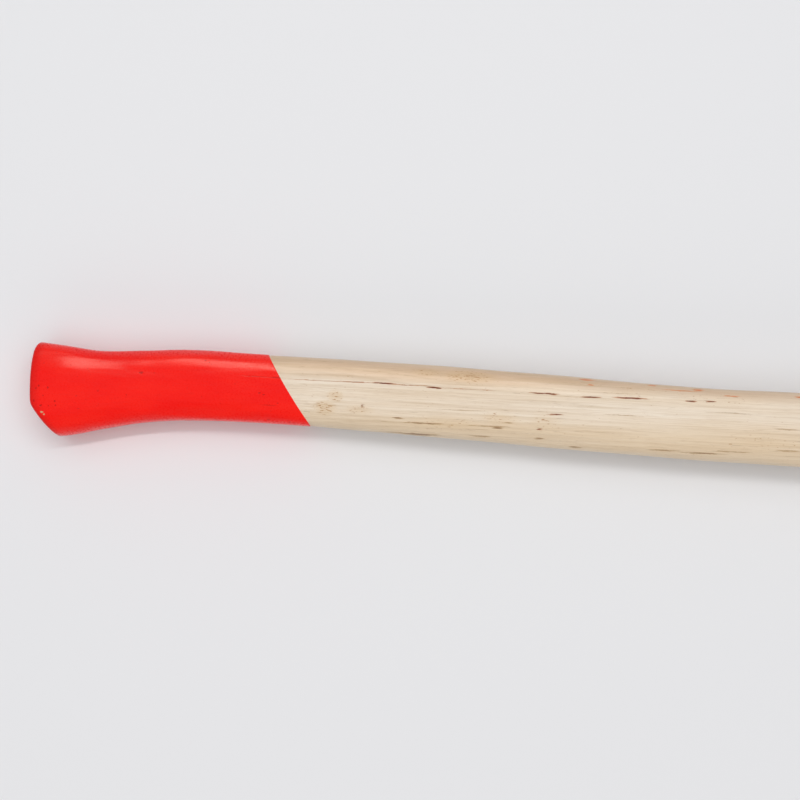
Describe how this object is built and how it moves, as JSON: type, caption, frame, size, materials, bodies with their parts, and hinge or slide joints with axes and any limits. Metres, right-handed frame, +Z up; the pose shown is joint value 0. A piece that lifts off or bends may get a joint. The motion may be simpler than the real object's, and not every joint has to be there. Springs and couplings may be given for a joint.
{
  "type": "splitting maul",
  "caption": "Two-handed wood-splitting maul: winged wedge head with a hammer poll, wedged on a curved hickory handle with a dipped red grip.",
  "frame": {"origin": "on the surface that the maul lies on, below the middle of its length and of its poll-to-edge width", "axes": "+Z up from the surface; +X along the handle towards the head; +Y towards the poll, so the cutting edge is at -Y. The maul lies on one cheek, resting on a wing, the poll and the knob, so its eye axis is pitched 1.0 degree and its middle plane rolled 2.4 degrees."},
  "size_m": [0.8014, 0.1988, 0.0621],
  "materials": {
    "head_paint": "semi-gloss enamel on forged steel, with the cutting edge and the poll face ground bare",
    "hickory": "pale straight-grained hickory with brown mineral streaks under clear gloss lacquer",
    "grip_dip": "glossy dipped coating, fluorescent orange-red, thin enough to show the grain's ridges",
    "wedge_wood": "unfinished hardwood end grain",
    "wedge_steel": "plain low-carbon steel, dull, hammer-marked"
  },
  "bodies": {
    "root": {"maul_head": "head_paint", "handle": "hickory", "grip_coat": "grip_dip", "wooden_wedge": "wedge_wood", "steel_wedge_front": "wedge_steel", "steel_wedge_rear": "wedge_steel"}
  },
  "joints": []
}
